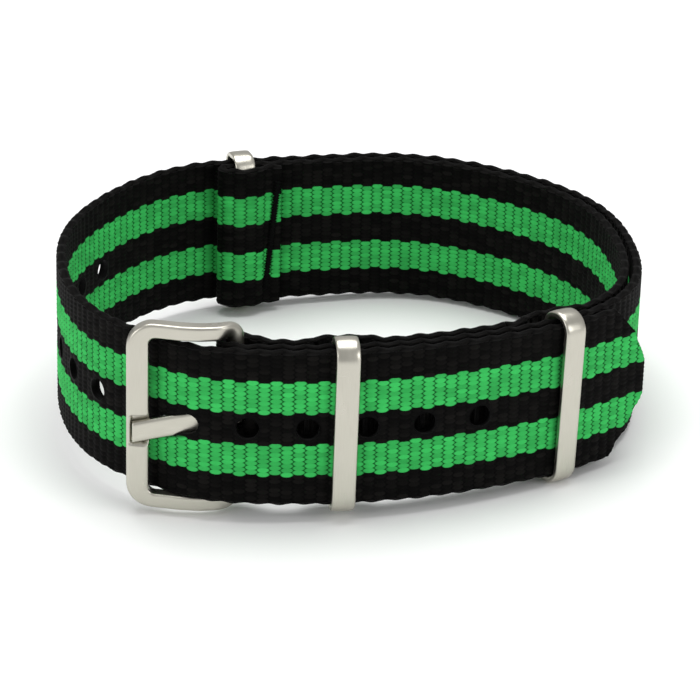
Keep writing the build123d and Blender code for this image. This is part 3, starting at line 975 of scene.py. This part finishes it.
wire_ring("near_keeper", near_keeper_direction, keeper_middle, keeper_radii, keeper_wire_width, -0.5, 0)
wire_ring("far_keeper", far_keeper_direction, keeper_middle, keeper_radii, keeper_wire_width, -1.5, 0)
wire_ring("rear_ring", rear_ring_direction, 0.0, rear_ring_radii, ring_wire_width, 0, 4)

# %% [markdown]
# ## Buckle frame and tang
# The frame is one blank, swept round as a closed loop: square bars on three sides, and a round bar on
# the fourth where the webbing and the tang turn. Its side bars are bent in an S, so the strap can pass
# over the round bar and under the flat end bar.

# %% The frame's sizes and the bend of its side bars
frame_top = 22.0
frame_drop = 1.6
frame_length = 13.7
frame_thickness = 1.9
side_bar_width = 1.8
end_bar_width = 2.65
frame_end_radius = 3.2
frame_hinge_radius = 1.9
frame_inner_radius = 0.8
frame_rise = 1.45
frame_turn = radians(8.5)
bar_inset = 1.0
frame_reach = frame_length - bar_inset
end_bar_rise_share = 0.25
side_profile = (
    (-0.08, 0.15), (0.0, 0.3), (0.16, 0.85), (0.32, 1.0), (0.5, 0.85), (0.68, 0.45),
    (1 - end_bar_width / frame_reach, end_bar_rise_share), (1 + 1 / frame_reach, end_bar_rise_share),
)
profile_samples, smoothing_samples = 400, 45
turned = np.array([[cos(frame_turn), -sin(frame_turn)], [sin(frame_turn), cos(frame_turn)]])
frame_axis = turned @ -along_loop(bar_direction)[0]
frame_outward = np.array([-frame_axis[1], frame_axis[0]])


def smooth_profile(u):
    """The side bars' rise outward at distances from the bar, with the given points eased."""
    profile_u, profile_w = np.array(side_profile).T * [[frame_reach], [frame_rise]]
    dense = np.linspace(profile_u[0], profile_u[-1], profile_samples)
    high = np.interp(dense, profile_u, profile_w)
    kernel = np.hanning(smoothing_samples)
    high = np.convolve(np.pad(high, smoothing_samples // 2, "edge"), kernel / kernel.sum(), "valid")
    return np.interp(u, dense, high)


def in_buckle(u, w, z):
    """Points of the buckle, from distances along its axis, outward and up, in the level frame."""
    plan = bar_centre + u[:, None] * frame_axis + w[:, None] * frame_outward
    return np.column_stack([plan, z])


print("frame reaches", round(frame_reach, 2), "mm behind its bar")

# %% The frame, its round bar and its notch for the tang
tang_thickness = 0.8
tang_width = 2.6
tang_tip_inset = 0.7
tang_reach = frame_reach - tang_tip_inset
notch_clearance = 0.15
notch_height = 3.6
notch_opening = 0.5
notch_start, notch_end = frame_reach - end_bar_width - notch_opening, tang_reach + notch_clearance
notch_low = tang_root_height - tang_reach * tan(tang_slant) - tang_width / 2 - notch_clearance
notch_floor = frame_thickness / 2 - tang_thickness - notch_clearance
round_from, round_over = -0.2, 2.2
frame_steps = {"side_steps": 96, "corner_steps": 14}
outer_radii = (frame_end_radius, frame_hinge_radius, frame_hinge_radius, frame_end_radius)
outer_low, outer_high = (-bar_inset, -frame_drop), (frame_reach, frame_top)
inner_low = (bar_radius, side_bar_width - frame_drop)
inner_high = (frame_reach - end_bar_width, frame_top - side_bar_width)
outer = rounded_outline(outer_low, outer_high, outer_radii, **frame_steps)
inner = rounded_outline(inner_low, inner_high, (frame_inner_radius,) * 4, **frame_steps)
square_section, round_section = wire_section(0.30, count=44), wire_section(1.0, count=44)
points, across, faces, grain = swept_ring(inner, outer, square_section, frame_thickness / 2)
round_points, round_across, _, _ = swept_ring(inner, outer, round_section, frame_thickness / 2)
to_bar = (1 - eased((((inner + outer) / 2)[:, 0] - round_from) / round_over))[:, None]
points = points * (1 - to_bar[..., None]) + round_points * to_bar[..., None]
across = across * (1 - to_bar) + round_across * to_bar
# The tang's tip lies in a notch of the end bar, open to the inside
u, z = points[..., 0], points[..., 1]
in_notch = (u > notch_start) & (u < notch_end) & (z > notch_low) & (z < notch_low + notch_height)
across = np.where(in_notch, np.minimum(across, notch_floor), across)
rise = smooth_profile(u) * (1 - to_bar ** 2)
world = in_buckle(u.ravel(), (across + rise).ravel(), z.ravel())
mesh_piece("buckle_frame_steel", world, faces, grain, steel, "buckle", "buckle_frame")

# %% [markdown]
# ## Tang
# A flat strip rolled into an eye on the bar. It comes out through the sixth hole and runs aslant to
# its tip, which lies in a notch of the end bar. Its section is swept along one line, eye and arm
# together, because the real one is bent from one strip.

# %% Tang
eye_clearance = 0.06
eye_from, eye_to = 420, 92
eye_points = arm_points = 60
arm_smoothing = 60
tang_grain_step = 0.25
tang_eye_radius = bar_radius + eye_clearance + tang_thickness / 2
tip_rise = frame_rise * end_bar_rise_share + frame_thickness / 2 - tang_thickness / 2
eye_angles = np.radians(np.linspace(eye_from, eye_to, eye_points))
eye = tang_eye_radius * np.stack([np.cos(eye_angles), np.sin(eye_angles)], 1)
arm_shares = np.array(((0.0, 0.0), (0.2, 0.0), (0.45, 0.4), (0.75, 1.05), (1.0, 1.0)))
arm_u = np.linspace(0, tang_reach, arm_points)
arm_w = tang_eye_radius + (tip_rise - tang_eye_radius) * np.interp(arm_u / tang_reach, *arm_shares.T)
for _ in range(arm_smoothing):
    arm_w[1:-1] = (arm_w[:-2] + arm_w[1:-1] * 2 + arm_w[2:]) / 4
tang_line = np.concatenate([eye, np.stack([arm_u, arm_w], 1)])
heights = tang_root_height - np.concatenate([np.zeros(eye_points), arm_u]) * tan(tang_slant)
tangent = unit_tangents(tang_line)
normal = np.stack([-tangent[:, 1], tangent[:, 0]], 1)
section = wire_section(0.4)
plan = tang_line[:, None] + normal[:, None] * section[None, :, :1] * tang_thickness / 2
z = heights[:, None] + section[None, :, 1] * tang_width / 2
world = in_buckle(plan[..., 0].ravel(), plan[..., 1].ravel(), z.ravel())
grain = grain_places(lengths_along(tang_line), len(section), tang_grain_step)
mesh_piece("tang_steel", world, tube_faces(*z.shape), grain, steel, "tang", "tang")

# %% [markdown]
# ## Bar tacks
# Each is black spun polyester thread in a close zigzag across the layers, sewn by machine. Its fibres
# make it matt. A thread is a thin tube, laid back and forth on both faces of the layers. A flat patch
# with stitches painted on would do from afar, but it would have no thickness in a close view.

# %% The thread's material
# This many of the wave node's units give ribs about 0.07 mm apart, the width of a few fibres
rib_scale = 3.0


def thread_material():
    """Black spun polyester sewing thread: matt, with its fibres as fine ribs across it."""
    material, tree, shader = new_material("black_polyester_thread")
    grain = add(tree, "Attribute", {"attribute_name": "grain"}).outputs["Vector"]
    ribs = add(tree, "TexWave", {"Scale": rib_scale, "Distortion": 0.4}, Vector=grain)
    bump = add(tree, "Bump", {"Strength": 0.6, "Distance": 0.04 * mm}, Height=ribs.outputs[1])
    tone = add(tree, "Mix", {"data_type": "RGBA", "A": linear("#010101"), "B": linear("#040404")},
               Factor=ribs.outputs[1])
    fill(tree, shader, {"Roughness": 0.8, "Specular IOR Level": 0.1}, Base_Color=tone.outputs["Result"],
         Normal=bump.outputs[0])
    return material


thread_black = thread_material()
print("nodes in the thread:", len(thread_black.node_tree.nodes))


# %% Bar tacks
seams = {
    "buckle_end": (direction_after(6.6), main_offset, inner_offset),
    "near_keeper": (direction_after(19.0), main_offset, inner_offset),
    "fold_end": (direction_after(30.6), main_offset, inner_offset),
    "short_strap": (direction_after(34.0), main_offset, inner_offset),
    "far_keeper": (direction_after(46.9), main_offset, inner_offset),
    "ring_fold": (direction_after(-3.85, rear_ring_direction), inner_offset, fold_back_at_seam),
}
thread_radius = 0.15
thread_sides = 6
thread_bulge = 0.10
thread_sink = 0.02
thread_grain_step = 0.2
tack_length = 15.4
tack_width = 0.75
tack_passes = 84
tack_slant = 0.10
steps_per_pass = 6


def tack(seam, direction, upper, lower):
    """A zigzag of thread across the layers, on both of their faces."""
    along = np.append(along_loop(direction)[0], 0.0)
    outward = np.array([along[1], -along[0], 0.0])
    steps = np.arange(tack_passes * steps_per_pass + 1)
    swing = np.abs(steps / steps_per_pass % 2 - 1) * 2 - 1
    rise = (steps / steps[-1] - 0.5) * tack_length
    aside = swing * tack_width / 2 - rise * tack_slant
    angles = 2 * pi * np.arange(thread_sides)[:, None] / thread_sides
    grain = grain_places(steps * thread_grain_step, thread_sides, thread_grain_step)
    points, faces = [], []
    for face in (1, -1):
        offset = (upper + lower) / 2 + face * ((layer_pitch + webbing_thickness) / 2 - thread_sink)
        at = np.append(loop_point(direction, offset)[0], mid_height)
        bulge = face * thread_bulge * (1 - swing ** 2)
        line = at + np.outer(aside, along) + np.outer(bulge, outward) + np.outer(rise, (0, 0, 1))
        tangent = unit_tangents(line)
        first = np.cross(tangent, outward)
        first /= np.linalg.norm(first, axis=1, keepdims=True)
        second = np.cross(tangent, first)
        ring = first[:, None] * np.cos(angles) + second[:, None] * np.sin(angles)
        faces += tube_faces(len(line), thread_sides, len(points) * len(grain))
        points.append((line[:, None] + ring * thread_radius).reshape(-1, 3))
    mesh_piece(seam + "_thread", np.concatenate(points), faces, np.tile(grain, (2, 1)), thread_black,
               "webbing", seam + "_stitching")


for seam, (direction, upper, lower) in seams.items():
    tack(seam, direction, upper, lower)

# %% [markdown]
# ## Floor, light and camera
# A plain white floor. One wide soft light hangs above and a little behind the strap, two weaker ones
# stand in front at its sides, and the steel reflects a pale surround. The camera's place was found
# from the photograph: a long lens, about 415 mm from the strap, looking down by 25 degrees.

# %% Floor
half_floor = 1.5
corners = half_floor * np.array(((-1, -1, 0), (1, -1, 0), (1, 1, 0), (-1, 1, 0)))
floor = new_piece("floor", corners, [(0, 1, 2, 3)])
floor_material, tree, shader = new_material("white_paper")
fill(tree, shader, {"Base Color": linear("#FAFAFA"), "Roughness": 0.9, "Specular IOR Level": 0.1})
floor.data.materials.append(floor_material)

# %% Three soft square lights and a pale surround
lights = (
    ("overhead_softbox", (0.0, 0.12, 0.62), (0, 0, 0), 0.5, 3.1),
    ("right_fill", (0.55, -0.40, 0.30), (0, 0, 0.01), 0.35, 1.0),
    ("left_fill", (-0.55, -0.40, 0.30), (0, 0, 0.01), 0.35, 1.0),
)
for name, place, target, size, power in lights:
    light = bpy.data.lights.new(name, "AREA")
    light.shape = "SQUARE"
    light.size = size
    light.energy = power
    lamp = bpy.data.objects.new(name, light)
    bpy.context.scene.collection.objects.link(lamp)
    lamp.location = place
    lamp.rotation_euler = (Vector(target) - Vector(place)).to_track_quat("-Z", "Y").to_euler()
    print(f"{name}: {size} m wide, {power} W")
world = bpy.data.worlds.new("pale_studio")
bpy.context.scene.world = world
world.use_nodes = True
background = world.node_tree.nodes["Background"]
background.inputs["Color"].default_value = linear("#FFFFFF")
background.inputs["Strength"].default_value = 0.52
bpy.context.scene.view_settings.view_transform = "Standard"

# %% Camera
focal_pixels = 3161.6
photo_pixels = 700
sensor_width = 36.0
camera_distance = 414.6
camera_elevation = radians(24.63)
aim = stand + np.array([1.09, 11.45, 0])
back_off = np.array([0, -cos(camera_elevation), sin(camera_elevation)]) * camera_distance
camera_data = bpy.data.cameras.new("camera")
camera_data.sensor_width = sensor_width
camera_data.lens = focal_pixels * sensor_width / photo_pixels
camera = bpy.data.objects.new("camera", camera_data)
bpy.context.scene.collection.objects.link(camera)
camera.location = Vector((aim + back_off) * mm)
camera.rotation_euler = Vector(-back_off).to_track_quat("-Z", "Y").to_euler()
camera_data.clip_start = 0.01
bpy.context.scene.camera = camera
print("camera at", [round(v, 4) for v in camera.location])
